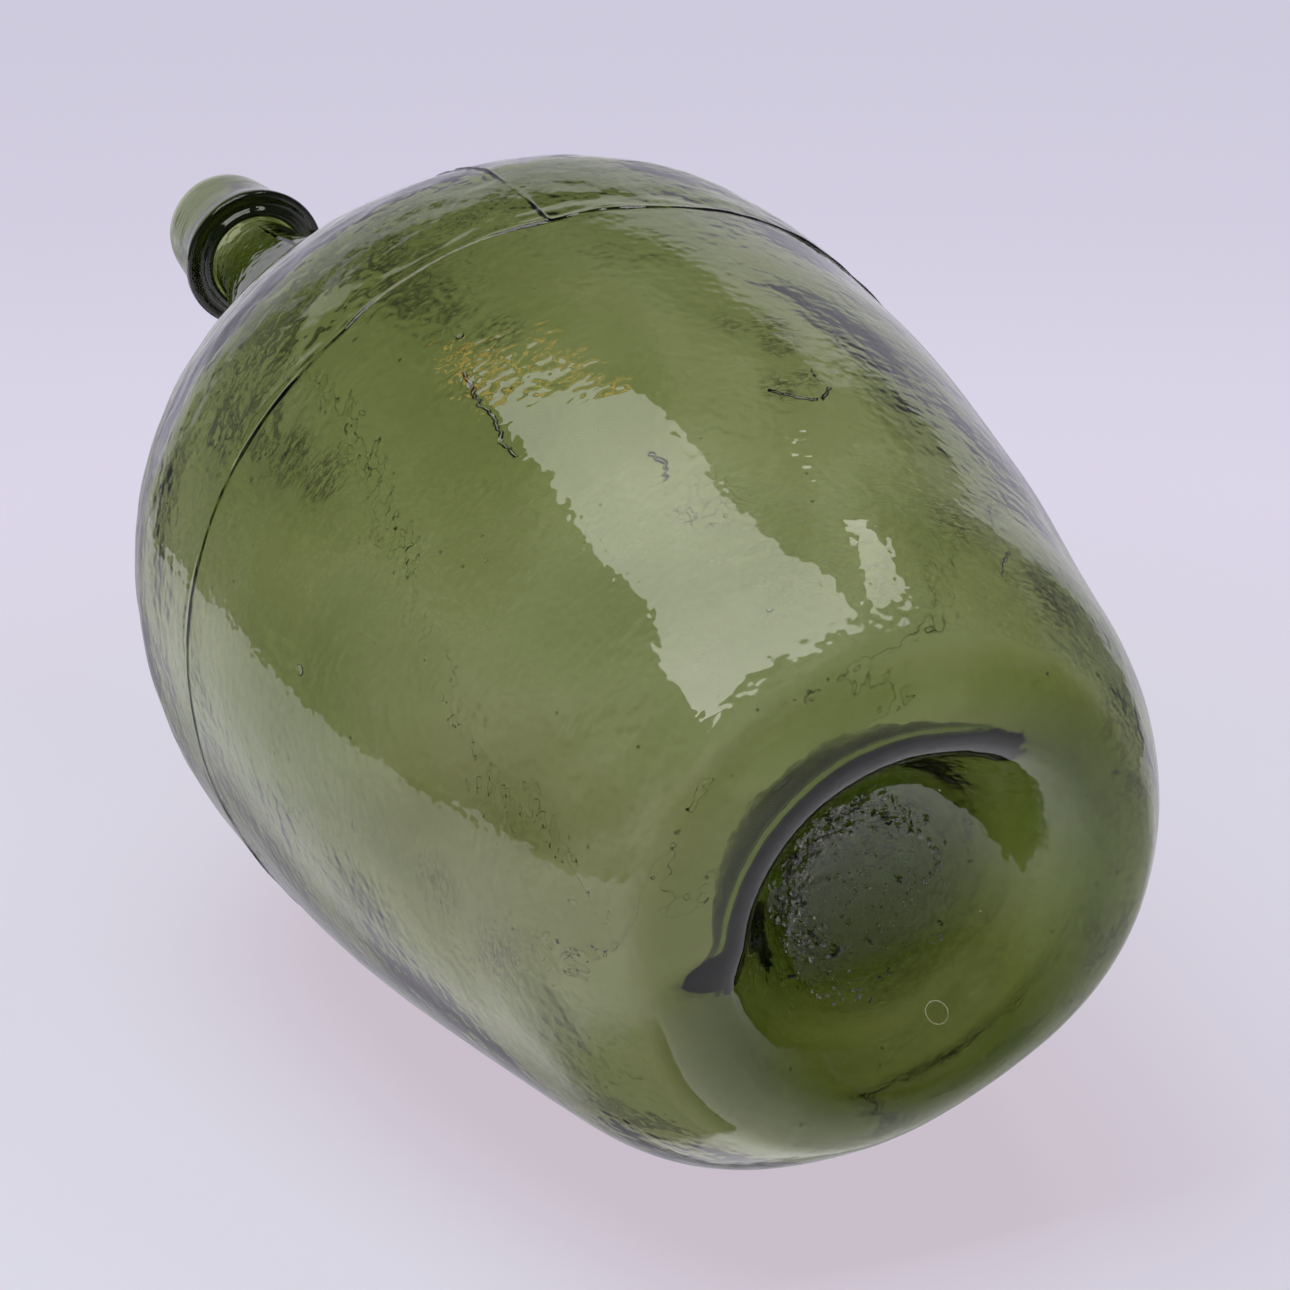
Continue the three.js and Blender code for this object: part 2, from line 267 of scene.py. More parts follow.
# ----------------------------------------------------------- mesh building
class Build:
    """Collects rings of points and joins neighbours into one closed surface."""

    def __init__(self):
        self.points, self.faces, self.count = [], [], 0

    def add(self, pts):
        pts = np.asarray(pts, float).reshape(-1, 3)
        start = self.count
        self.points.append(pts)
        self.count += len(pts)
        return start

    def quads(self, a, b, n):
        """Faces between ring a and the next ring b, both with n points."""
        j = np.arange(n)
        k = (j + 1) % n
        self.faces.append(np.stack([a + j, a + k, b + k, b + j], 1))

    def fan_out(self, pole, ring, n):
        j = np.arange(n)
        self.faces.append(
            np.stack([np.full(n, pole), ring + (j + 1) % n, ring + j], 1)
        )

    def fan_in(self, ring, pole, n):
        j = np.arange(n)
        self.faces.append(
            np.stack([ring + j, ring + (j + 1) % n, np.full(n, pole)], 1)
        )

    def halve(self, a, b, n):
        """Ring a has n points and the next ring b has n / 2."""
        j = np.arange(n // 2)
        k = (j + 1) % (n // 2)
        self.faces.append(np.stack([a + 2 * j, a + 2 * j + 1, b + j], 1))
        self.faces.append(
            np.stack([a + 2 * j + 1, a + (2 * j + 2) % n, b + k, b + j], 1)
        )

    def double(self, a, b, n):
        """Ring a has n / 2 points and the next ring b has n."""
        j = np.arange(n // 2)
        k = (j + 1) % (n // 2)
        self.faces.append(np.stack([a + j, b + 2 * j + 1, b + 2 * j], 1))
        self.faces.append(
            np.stack([a + j, a + k, b + (2 * j + 2) % n, b + 2 * j + 1], 1)
        )

    def mesh(self, name, smooth_faces=True):
        v = np.concatenate(self.points) * MM
        loops = np.concatenate([f.ravel() for f in self.faces])
        sizes = np.concatenate([np.full(len(f), f.shape[1]) for f in self.faces])
        starts = np.r_[0, np.cumsum(sizes)[:-1]]
        me = bpy.data.meshes.new(name)
        me.vertices.add(len(v))
        me.vertices.foreach_set("co", v.ravel())
        me.loops.add(len(loops))
        me.loops.foreach_set("vertex_index", loops.astype(np.int32))
        me.polygons.add(len(sizes))
        me.polygons.foreach_set("loop_start", starts.astype(np.int32))
        me.polygons.foreach_set("loop_total", sizes.astype(np.int32))
        me.update(calc_edges=True)
        me.polygons.foreach_set(
            "use_smooth", np.full(len(sizes), bool(smooth_faces))
        )
        me.validate()
        ob = bpy.data.objects.new(name, me)
        bpy.context.scene.collection.objects.link(ob)
        return ob


def cavity(build, centre, axes, size, rings=10, segs=20, power=1.0):
    """A closed bubble inside the glass: an ellipsoid whose faces point inwards.
    A power under 1 flattens its top and bottom."""
    c = np.array(centre, float)
    ax = np.array(axes, float)
    poles = []
    for k in range(1, rings):
        t = math.pi * k / rings
        a = np.arange(segs) * 2 * math.pi / segs
        q = (
            c
            + ax[0] * (size[0] * math.sin(t) ** power * np.cos(a))[:, None]
            + ax[1] * (size[1] * math.sin(t) ** power * np.sin(a))[:, None]
            + ax[2] * (size[2] * math.copysign(abs(math.cos(t)) ** power, math.cos(t)))
        )
        poles.append(build.add(q))
    top = build.add([c + ax[2] * size[2]])
    low = build.add([c - ax[2] * size[2]])
    build.fan_out(low, poles[-1], segs)  # seen from inside the bubble
    for a, b in zip(poles[::-1], poles[::-1][1:]):
        build.quads(a, b, segs)
    build.fan_in(poles[0], top, segs)


def lathe_points(c, n2, az, h):
    """Ring points for profile points c [r, z] moved by h along their normals."""
    r = c[..., 0] + n2[..., 0] * h
    z = c[..., 1] + n2[..., 1] * h
    a = np.radians(az)
    return r, z, a


def placed(r, z, a):
    s = lean(z)
    r = r - heel_press(np.degrees(a), z) * smooth(r, 50.0, 62.0)
    b = base_slide(r, z)
    r = r - base_tuck(np.degrees(a), r, z)
    return np.stack(
        [
            r * np.cos(a) + s * LEAN_DIR[0] + b * OFF_CENTRE[0],
            r * np.sin(a) + s * LEAN_DIR[1] + b * OFF_CENTRE[1],
            z,
        ],
        -1,
    )


# ------------------------------------------------------------ outer surface
AZ = columns(300)
N = len(AZ)
HALF = AZ[::2]
S_OUT, C_OUT = curve(OUTER_WALL, soften=1.6)
C_OUT[:, 1] = np.maximum(C_OUT[:, 1], 0.0)
NRM_OUT = normals_of(C_OUT)


def wall_rows():
    """Nominal heights of the outer wall's rows, close together at the seam."""
    rows, s = [], 0.0
    while s < S_OUT[-1]:
        rows.append(s)
        z = float(np.interp(s, S_OUT, C_OUT[:, 1]))
        step = 2.1 if z < 40 else 3.1 if z < 190 else 2.3 if z < 345 else 4.0
        near = abs(z - 200.0)
        step = min(step, 0.24 + max(0.0, near - 1.3) * 0.22)
        s += step
    rows[-1] = S_OUT[-1]
    return np.array(rows)


def outer_relief(az, r, z, zs, xyz):
    """Relief of the outer face in millimetres, along its normal."""
    arc = np.radians(az) * r
    h = 0.34 * wob(xyz, 150, 1) + 0.085 * wob(xyz, 48, 2) + 0.032 * wob(xyz, 21, 3)
    h += 0.013 * wob(xyz, 10.5, 8) + 0.022 * wob(xyz, 15, 9, (1.0, 1.0, 5.0))
    above = smooth(z - zs, -0.5, 2.5)
    neck = 1 - smooth(z, 380, 440)
    # chilled, hammered skin above the seam, drawn out round the bottle
    h += (
        above
        * neck
        * (
            0.105 * wob(xyz, 11, 4, (1.8, 1.8, 0.7))
            + 0.060 * wob(xyz, 6.5, 5, (2.0, 2.0, 0.75))
            + 0.13 * wob(xyz, 26, 6, (1.4, 1.4, 0.8))
        )
    )
    # mould seams: fine ridges where the halves and the shoulder plate met
    d = z - zs
    amount = 0.44 - 0.34 * np.exp(-((wrap(az + 25.0) / 12.0) ** 2))
    amount = amount * (1 + 0.35 * wob(np.stack([arc, 0 * arc, 0 * arc], -1), 14, 7))
    d = d + 0.16 * wob(np.stack([arc, 0 * arc, 0 * arc], -1), 7, 10)
    h += amount * np.exp(-((d / 0.60) ** 2)) + 0.20 * smooth(d, -0.6, 0.9)
    for a0 in VERTICAL_SEAMS:
        side = np.radians(wrap(az - a0)) * r + 0.22 * np.sin(z / 5.0)
        here = smooth(z - zs, -0.3, 1.0) * (1 - smooth(z, 440, 468))
        h += here * 0.62 * np.exp(-((side / 0.46) ** 2))
    quiet = smooth(z, 0.15, 9.0) * (1 - smooth(z, 462, 473))
    return h * quiet


build = Build()

# push-up, seen from below: from its top out to the rolled rim
S_UP, C_UP = curve(PUSH_UP, soften=0.8)
S_UPS, C_UPS = curve(PUSH_UP_SOFT, soften=1.2)
C_UP[:, 0] = np.maximum(C_UP[:, 0], 0.0)
C_UPS[:, 0] = np.maximum(C_UPS[:, 0], 0.0)
up_s, q = [], 1.3
while q < S_UP[-1] - 0.3:
    up_s.append(q)
    r_q = float(np.interp(q, S_UP, C_UP[:, 0]))
    q += 1.05 if r_q < 46 else 0.75


def unit_normals(rows):
    d = np.gradient(rows, axis=0)
    d /= np.hypot(d[:, 0], d[:, 1])[:, None]
    return np.stack([d[:, 1], -d[:, 0]], 1)


under = along(S_UP, C_UP, np.array(up_s))
under_soft = along(S_UPS, C_UPS, np.array(up_s) * S_UPS[-1] / S_UP[-1])
n_under, n_under_soft = unit_normals(under), unit_normals(under_soft)
DOME_RZ = C_UP[np.argsort(C_UP[:, 0])]
DOME_SOFT_RZ = C_UPS[np.argsort(C_UPS[:, 0])]


def dome_z(r, f=0.0):
    tight = float(np.interp(r, DOME_RZ[:, 0], DOME_RZ[:, 1]))
    soft = float(np.interp(r, DOME_SOFT_RZ[:, 0], DOME_SOFT_RZ[:, 1]))
    return tight + (soft - tight) * f


def scarred(r, az):
    """How broken the push-up's skin is: most along one side of the ring."""
    side = np.exp(-((wrap(az + 48.0) / 58.0) ** 2)) + 0.25
    return side * np.exp(-(((r - 20.0) / 6.0) ** 2))


def under_relief(r, xyz):
    dome = smooth(r, 57, 46)
    h = 0.22 * wob(xyz, 60, 11) + 0.05 * wob(xyz, 26, 12) + 0.012 * wob(xyz, 11, 13)
    az = np.degrees(np.arctan2(xyz[..., 1], xyz[..., 0]))
    ring = scarred(r, az)
    rough = 0.17 * wob(xyz, 4.4, 14) + 0.16 * wob(xyz, 10, 15) + 0.07 * wob(xyz, 2.4, 17)
    h += ring * np.minimum(rough, 0.12)
    inside = smooth(r, 17, 6)
    h += inside * 0.045 * wob(xyz, 5.5, 16)
    return h * dome


top_h = 0.1
pole = build.add([[OFF_CENTRE[0], OFF_CENTRE[1], DOME_H - top_h]])
rings = []
cut = 30  # not used; every row of the push-up carries every other column
f_half = softness(HALF)
f_all = softness(AZ)
for c, n2, cs_, ns_ in zip(under, n_under, under_soft, n_under_soft):
    a = np.radians(HALF)
    r0, z0 = c[0] + (cs_[0] - c[0]) * f_half, c[1] + (cs_[1] - c[1]) * f_half
    nr, nz = n2[0] + (ns_[0] - n2[0]) * f_half, n2[1] + (ns_[1] - n2[1]) * f_half
    h = under_relief(r0, np.stack([r0 * np.cos(a), r0 * np.sin(a), z0], -1))
    rings.append(build.add(placed(r0 + nr * h, np.maximum(z0 + nz * h, 0.0), a)))
build.fan_out(pole, rings[0], len(HALF))
for a_, b_ in zip(rings, rings[1:]):
    build.quads(a_, b_, len(HALF))

rows = wall_rows()
last = None
for s in rows:
    z0 = float(np.interp(s, S_OUT, C_OUT[:, 1]))
    zs = seam_z(AZ)
    w = np.exp(-(((z0 - 200.0) / 17.0) ** 2))
    z = np.full(N, z0) + (zs - 200.0) * w
    if z0 > 3:  # above the heel the wall is a function of height
        r = np.interp(z, C_OUT[:, 1], C_OUT[:, 0])
        nr = np.interp(z, C_OUT[:, 1], NRM_OUT[:, 0])
        nz = np.interp(z, C_OUT[:, 1], NRM_OUT[:, 1])
    else:
        r = np.full(N, float(np.interp(s, S_OUT, C_OUT[:, 0])))
        nr = np.full(N, float(np.interp(s, S_OUT, NRM_OUT[:, 0])))
        nz = np.full(N, float(np.interp(s, S_OUT, NRM_OUT[:, 1])))
    a = np.radians(AZ)
    xyz = np.stack([r * np.cos(a), r * np.sin(a), z], -1)
    h = outer_relief(AZ, r, z, zs, xyz)
    r2 = r + nr * h + f_all * 2.1 * (1 - smooth(z0, 0.0, 9.0))
    z2 = np.maximum(z + nz * h, 0.0)
    r2 = np.minimum(r2, 119.97 - 0.0 * r2)
    ring = build.add(placed(r2, z2, a))
    if last is None:
        build.double(rings[-1], ring, N)
    else:
        build.quads(last, ring, N)
    last = ring

# ------------------------------------------------------------ inner surface
S_IN, C_IN = curve(INNER_WALL, soften=1.4)
S_INS, C_INS = curve(INNER_WALL[: len(INNER_WALL) - len(INNER_SOFT)] + INNER_SOFT, soften=1.4)
inner_s, s = [], 0.0
while s < S_IN[-1] - 1.2:
    inner_s.append(s)
    r_s, z_s = (float(np.interp(s, S_IN, C_IN[:, j])) for j in (0, 1))
    s += 1.5 if z_s < 14 and r_s > 52 else 2.6 if z_s < 36 else 5.0
inner_s = np.array(inner_s)
s_low = float(S_IN[np.argmax(C_IN[:, 1] < 132.5)])  # the two profiles part below here
soft_s = np.where(
    inner_s < s_low, inner_s,
    s_low + (inner_s - s_low) * (S_INS[-1] - s_low) / (S_IN[-1] - s_low),
)
both = along(S_IN, C_IN, inner_s)
both_soft = along(S_INS, C_INS, soft_s)
n_both, n_both_soft = unit_normals(both), unit_normals(both_soft)  # to the hollow
a = np.radians(HALF)
first = True
for c, n2, cs_, ns_ in zip(both, n_both, both_soft, n_both_soft):
    r, z = c[0] + (cs_[0] - c[0]) * f_half, c[1] + (cs_[1] - c[1]) * f_half
    nr, nz = n2[0] + (ns_[0] - n2[0]) * f_half, n2[1] + (ns_[1] - n2[1]) * f_half
    xyz = np.stack([r * np.cos(a), r * np.sin(a), z], -1)
    # the inside follows the outside's slow waves and adds its own
    h = (
        -0.34 * wob(xyz, 150, 1)
        + 0.26 * wob(xyz, 95, 21)
        + 0.13 * wob(xyz, 44, 22)
        + 0.045 * wob(xyz, 20, 23)
        + 0.03 * wob(xyz, 17, 24, (1.0, 1.0, 5.0))
    )
    # thicker glass high on one side, thinner low down and round the heel
    h = h + 0.65 * np.exp(-(((z - 190.0) / 52.0) ** 2)) * np.exp(-((wrap(HALF + 5.0) / 48.0) ** 2))
    h = h - 0.50 * smooth(z, 84, 50) * smooth(z, 8, 16) * smooth(r, 62, 70)
    h = h * (1 - smooth(z, 440, 500))
    h = np.clip(h, -0.95, 1.1)
    r2 = r + nr * h
    z2 = z + nz * h
    ring = build.add(placed(r2, z2, a))
    if first:
        build.halve(last, ring, N)
        first = False
    else:
        build.quads(last, ring, len(HALF))
    last = ring
tip = build.add([[OFF_CENTRE[0], OFF_CENTRE[1], 47.0]])
build.fan_in(last, tip, len(HALF))


# ---------------------------------------------------------- bubbles in glass
def wall_spot(az, z, depth):
    """A point depth millimetres under the outer face, and axes: round, up, out."""
    r = float(np.interp(z, C_OUT[:, 1], C_OUT[:, 0]))
    nr = float(np.interp(z, C_OUT[:, 1], NRM_OUT[:, 0]))
    nz = float(np.interp(z, C_OUT[:, 1], NRM_OUT[:, 1]))
    r -= float(heel_press(np.array(az), np.array(z)))
    r -= float(base_tuck(np.array(az), np.array(r), np.array(z)))
    t = math.radians(az)
    out = np.array([nr * math.cos(t), nr * math.sin(t), nz])
    rnd = np.array([-math.sin(t), math.cos(t), 0])
    up = np.cross(out, rnd)
    s = float(lean(np.array([z]))[0])
    p = np.array([r * math.cos(t) + s * LEAN_DIR[0], r * math.sin(t) + s * LEAN_DIR[1], z])
    return p - out * depth, (rnd, up, out)


def wall_bubble(az, z, size, depth=1.7, turn=0.0):
    p, (rnd, up, out) = wall_spot(az, z, depth)
    c, s = math.cos(turn), math.sin(turn)
    cavity(build, p, (rnd * c + up * s, -rnd * s + up * c, out), size)


wall_bubble(-77.6, 140.5, (1.5, 1.9, 0.40))
wall_bubble(-28.9, 165.4, (1.3, 1.1, 0.62))
wall_bubble(-21.3, 30.0, (0.9, 0.8, 0.5))
rs2 = np.random.RandomState(77)
for _ in range(46):
    az_b = rs2.uniform(-180, 180)
    z_b = rs2.choice([rs2.uniform(25, 190), rs2.uniform(210, 330)])
    q = rs2.uniform(0.16, 0.42) * (1.5 if rs2.rand() < 0.12 else 1.0)
    wall_bubble(
        az_b, z_b, (q * rs2.uniform(1.0, 1.8), q, q * 0.7),
        depth=rs2.uniform(1.1, 2.0), turn=rs2.uniform(-0.4, 0.4),
    )


FREE_R = np.linspace(0.0, 59.0, 237)


def dome_frame(x, y):
    """The push-up's skin over x, y: the point, then axes down, outwards and round."""
    dx, dy = x - OFF_CENTRE[0], y - OFF_CENTRE[1]
    r = max(math.hypot(dx, dy), 1e-6)
    dx, dy = dx / r, dy / r
    tucked = FREE_R - base_tuck(math.degrees(math.atan2(dy, dx)), FREE_R, 0.0 * FREE_R)
    r = float(np.interp(r, tucked, FREE_R))
    f = float(softness(np.array(math.degrees(math.atan2(dy, dx)))))
    slope = (dome_z(r + 0.6, f) - dome_z(max(r - 0.6, 0.0), f)) / (r + 0.6 - max(r - 0.6, 0.0))
    rad = np.array([dx, dy, slope])
    rad /= np.linalg.norm(rad)
    rnd = np.array([-dy, dx, 0.0])
    n = np.cross(rnd, rad)
    if n[2] > 0:
        n = -n
    return np.array([x, y, dome_z(r, f)]), n, rad, np.cross(n, rad)


def base_bubble(x, y, size, depth, power=1.0):
    """A small bubble over the push-up's skin."""
    p, n, e1, e2 = dome_frame(x, y)
    cavity(build, p - n * depth, (e1, e2, n), size, 16, 40, power)


def base_blister(x, y, a_size, b_size, thick, depth, segs=56, sides=8):
    """A pressed-flat blister whose middle has closed again: an oval tube of air."""
    p, n, e1, e2 = dome_frame(x, y)
    loops_ = []
    for k in range(segs):
        t = 2 * math.pi * k / segs
        foot = p - n * depth + e1 * (a_size * math.cos(t)) + e2 * (b_size * math.sin(t))
        way = e1 * (math.cos(t) / a_size) + e2 * (math.sin(t) / b_size)
        way /= np.linalg.norm(way)
        q = 2 * math.pi * np.arange(sides) / sides
        loops_.append(build.add(
            foot + np.outer(np.cos(q), way) * thick + np.outer(np.sin(q), n) * thick
        ))
    for a_, b_ in zip(loops_, loops_[1:] + loops_[:1]):
        build.quads(b_, a_, sides)


base_blister(-34.0, 15.3, 3.2, 2.8, 0.17, 1.2)
for x, y, q in ((4, -30, 0.5), (22, 18, 0.4), (-12, 30, 0.35), (33, -6, 0.45), (-28, -14, 0.4)):
    base_bubble(x, y, (q, q, q * 0.6), 2.0)

def crack(path, deep, lean_by):
    """A hair crack: a thin closed air gap that follows path, a list of (azimuth, z)."""
    loops_ = []
    steps = []
    for (a0, z0), (a1, z1) in zip(path, path[1:]):
        m = max(2, int(math.hypot((a1 - a0) * 1.9, z1 - z0) / 1.1))
        steps += [(a0 + (a1 - a0) * k / m, z0 + (z1 - z0) * k / m) for k in range(m)]
    steps.append(path[-1])
    for k, (az_c, z_c) in enumerate(steps):
        az_c += rs4.normal() * 0.21
        z_c += rs4.normal() * 0.32
        thin = 0.028 if 0 < k < len(steps) - 1 else 0.008
        foot, (rnd, up, out) = wall_spot(az_c, z_c, 0.22)
        nxt = steps[min(k + 1, len(steps) - 1)]
        prv = steps[max(k - 1, 0)]
        along_ = rnd * (nxt[0] - prv[0]) * 1.9 + up * (nxt[1] - prv[1])
        along_ /= np.linalg.norm(along_)
        side = np.cross(out, along_)
        low = foot - out * deep + side * lean_by * deep
        loops_.append(build.add([foot - side * thin, foot + side * thin, low + side * thin, low - side * thin]))
    for a_, b_ in zip(loops_, loops_[1:]):
        for j in range(4):
            k = (j + 1) % 4
            build.faces.append(np.array([[a_ + j, b_ + j, b_ + k, a_ + k]]))
    f, l = loops_[0], loops_[-1]
    build.faces.append(np.array([[f, f + 1, f + 2, f + 3]]))
    build.faces.append(np.array([[l + 3, l + 2, l + 1, l]]))


rs4 = np.random.RandomState(31)
crack([(-32.2, 153.0), (-32.6, 146.0), (-33.8, 139.0), (-33.4, 131.0), (-35.2, 121.0), (-35.0, 114.0)], 1.3, 0.9)
crack([(9.8, 108.0), (9.0, 103.5), (10.6, 99.0), (8.2, 95.0)], 1.2, 0.8)
crack([(1.2, 99.5), (4.4, 95.0), (7.6, 94.2)], 1.0, -0.7)
crack([(0.6, 106.0), (3.2, 103.5)], 0.8, 0.7)
crack([(18.2, 158.0), (17.6, 151.0), (19.4, 145.0), (17.0, 139.0), (18.8, 131.0), (17.6, 122.0)], 1.0, 0.8)
crack([(-20.4, 90.0), (-18.9, 85.0), (-20.9, 79.5)], 1.3, -0.9)
crack([(29.0, 60.0), (26.5, 50.0), (27.4, 41.0), (23.0, 30.0)], 1.0, 0.8)

body = build.mesh("bottle_body_glass")
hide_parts("bottle_body")
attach(body, "root")

# ------------------------------------------------------------------- collar
COLLAR_OUT = [
    (15.75, 475.4), (16.3, 474.6), (17.4, 474.7), (18.4, 475.7), (19.4, 476.9),
    (20.9, 476.9), (22.3, 476.6), (23.4, 477.0), (23.85, 478.4), (23.3, 481.4),
    (22.2, 486), (21.1, 492), (20.4, 498), (19.9, 503.5), (19.1, 508.6),
    (17.6, 512.4), (15.6, 514.55), (13.9, 514.95), (12.6, 514.5), (11.7, 512.8),
    (11.3, 509.9),
]
cb = Build()
NC = 208
ca = np.arange(NC) * 360.0 / NC
_, cc = curve(COLLAR_OUT, per_mm=6)
cs = np.r_[0, np.cumsum(np.hypot(*np.diff(cc, axis=0).T))]
out_rows = along(cs, cc, np.linspace(0, cs[-1], 92))
n_c = np.gradient(out_rows, axis=0)
n_c /= np.hypot(n_c[:, 0], n_c[:, 1])[:, None]
n_c = np.stack([n_c[:, 1], -n_c[:, 0]], 1)
in_rows = np.array([
    (11.3, 509.6), (12.8, 509.55), (14.5, 509.55), (14.55, 506), (14.65, 498),
    (14.8, 490), (14.95, 485), (15.15, 481), (15.45, 477.5), (15.65, 475.9),
])
loop = []
a = np.radians(ca)
for c in in_rows:
    loop.append(cb.add(placed(np.full(NC, c[0]), np.full(NC, c[1]), a)))
for c, n2 in zip(out_rows, n_c):
    r, z = np.full(NC, c[0]), np.full(NC, c[1])
    xyz = np.stack([r * np.cos(a), r * np.sin(a), z], -1)
    turned = 0.5 + 0.5 * wob(xyz, 30, 34)
    h = (
        0.16 * wob(xyz, 34, 31)
        + 0.05 * wob(xyz, 14, 32, (1.5, 1.5, 0.7))
        + 0.030 * np.sin(z * 2.3 + a + 1.2 * wob(xyz, 25, 33)) * turned
    )
    h = np.minimum(h, 0.04)
    h *= smooth(c[0], 12.0, 15.5) * smooth(z, 475.2, 477.5)
    loop.append(cb.add(placed(r + n2[0] * h, np.minimum(z + n2[1] * h, 514.98), a)))
for a_, b_ in zip(loop, loop[1:] + loop[:1]):
    cb.quads(a_, b_, NC)
collar = cb.mesh("applied_collar_glass")
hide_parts("applied_collar")
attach(collar, "root")

# -------------------------------------------------------------- pontil scar
sb = Build()
rs3 = np.random.RandomState(905)


def shard(x, y, length, width, height, turn):
    """A broken flake of glass: a ragged outline with a faceted lower face."""
    p, n, e1, e2 = dome_frame(x, y)
    c, s = math.cos(turn), math.sin(turn)
    u, v = e1 * c + e2 * s, -e1 * s + e2 * c
    m = 9
    ang = (np.arange(m) + rs3.uniform(-0.3, 0.3, m)) * 2 * math.pi / m
    rad = rs3.uniform(0.55, 1.0, m)
    flat = (u * (length * rad * np.cos(ang))[:, None]) + (
        v * (width * rad * np.sin(ang))[:, None]
    )
    base = p + flat + n * (0.42 + 0.02 * rs3.rand(m))[:, None]
    mid = p + flat * 0.90 + n * (0.5 + height * rs3.uniform(0.25, 0.7, m))[:, None]
    core = p + flat * rs3.uniform(0.25, 0.55, m)[:, None] + n * (
        0.5 + height * rs3.uniform(0.6, 1.0, m)
    )[:, None]
    crown = p + n * (0.5 + height * rs3.uniform(0.5, 0.9))
    lid = sb.add([p + n * 0.42])
    b, mi, co = sb.add(base), sb.add(mid), sb.add(core)
    cr = sb.add([crown])
    # e1, e2 turn so that u x v points along n, which is out of the glass
    sb.faces.append(
        np.stack([np.full(m, lid), b + (np.arange(m) + 1) % m, b + np.arange(m)], 1)
    )
    sb.quads(b, mi, m)
    sb.quads(mi, co, m)
    sb.fan_in(co, cr, m)


def chip_at(az, r, size, long_, flat_, tall, turn):
    shard(
        r * math.cos(math.radians(az)) + SCAR_AT[0],
        r * math.sin(math.radians(az)) + SCAR_AT[1],
        size * long_, size * flat_, size * tall, math.pi / 2 + turn,
    )


# the thick of the ring, a band of small flakes, mostly laid along it
for _ in range(470):
    az = -48.0 + rs3.normal() * 52.0
    size = 0.22 + 0.85 * rs3.rand() ** 2.2
    chip_at(
        az, 20.2 + rs3.normal() * 2.9 + 1.8 * math.cos(math.radians(az)), size,
        rs3.uniform(0.9, 2.4), rs3.uniform(0.35, 0.9), rs3.uniform(0.5, 1.1),
        rs3.normal() * 0.6,
    )
# loose chips round the rest of it
for az, r, size in (
    (-127, 27.4, 1.0), (-131, 26.0, 0.6), (-147, 26.9, 0.7), (-158, 27.0, 0.9),
    (-163, 26.0, 0.6), (-174, 25.6, 0.9), (-178, 26.6, 1.0), (178, 24.8, 0.5),
    (166, 23.8, 0.8), (160, 23.0, 0.5), (122, 26.0, 0.9), (117, 24.6, 0.6),
    (128, 25.0, 0.6), (84, 21.0, 0.8), (76, 21.8, 0.9), (68, 22.6, 0.8), (60, 22.4, 0.6),
    (92, 20.0, 0.5), (103, 17.0, 0.4), (-2, 27.4, 0.7), (4, 27.0, 0.5), (-8, 26.6, 0.6),
):
    for _ in range(3):
        chip_at(
            az + rs3.normal() * 2.0, r + rs3.normal() * 0.7, size * rs3.uniform(0.5, 1.0),
            rs3.uniform(0.9, 1.8), rs3.uniform(0.5, 1.0), rs3.uniform(0.6, 1.1),
            rs3.normal() * 0.9,
        )
# a thin scatter over the middle
for _ in range(120):
    chip_at(
        rs3.uniform(-180, 180), 17.0 * rs3.rand() ** 0.6, rs3.uniform(0.12, 0.4),
        rs3.uniform(1.0, 2.6), rs3.uniform(0.35, 0.8), rs3.uniform(0.5, 1.0),
        rs3.normal() * 0.8,
    )
scar = sb.mesh("pontil_scar_glass", smooth_faces=False)
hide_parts("pontil_scar")
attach(scar, "root")


# ---------------------------------------------------------------- materials
class Nodes:
    def __init__(self, tree):
        self.t = tree
        tree.nodes.clear()

    def add(self, kind, out=0, **given):
        n = self.t.nodes.new(kind)
        for key, value in given.items():
            if key.startswith("_"):
                name = key[1:]
                sock = n.inputs[int(name)] if name.isdigit() else n.inputs[name.replace("_", " ")]
                if isinstance(value, bpy.types.NodeSocket):
                    self.t.links.new(value, sock)
                else:
                    sock.default_value = value
            else:
                setattr(n, key, value)
        return n.outputs[out] if out is not None else n

    def math(self, op, a, b=0.0, c=None, clamp=False):
        n = self.add("ShaderNodeMath", None, operation=op, use_clamp=clamp, _0=a, _1=b)
        if c is not None:
            if isinstance(c, bpy.types.NodeSocket):
                self.t.links.new(c, n.inputs[2])
            else:
                n.inputs[2].default_value = c
        return n.outputs[0]

    def ramp(self, x, a, b, lo=0.0, hi=1.0, kind="SMOOTHSTEP"):
        return self.add(
            "ShaderNodeMapRange", interpolation_type=kind,
            _Value=x, _From_Min=a, _From_Max=b, _To_Min=lo, _To_Max=hi,
        )

    def noise(self, vec, scale, detail=2.0, rough=0.5, out=0, distortion=0.0):
        return self.add(
            "ShaderNodeTexNoise", out, _Vector=vec, _Scale=scale, _Detail=detail,
            _Roughness=rough, _Distortion=distortion,
        )

    def mapped(self, vec, scale=(1, 1, 1), loc=(0, 0, 0)):
        return self.add("ShaderNodeMapping", _Vector=vec, _Scale=scale, _Location=loc)

    def near(self, vec, place, radius):
        """1 at a place on the object, falling to 0 at radius (metres)."""
        d = self.add("ShaderNodeVectorMath", 1, operation="DISTANCE", _0=vec, _1=place)
        return self.ramp(d, 0.0, radius, 1.0, 0.0)

    def mix(self, f, a, b, kind="MIX"):
        n = self.add("ShaderNodeMix", None, data_type="RGBA", blend_type=kind)
        for sock, value in ((n.inputs[0], f), (n.inputs[6], a), (n.inputs[7], b)):
            if isinstance(value, bpy.types.NodeSocket):
                self.t.links.new(value, sock)
            else:
                sock.default_value = value
        return n.outputs[2]


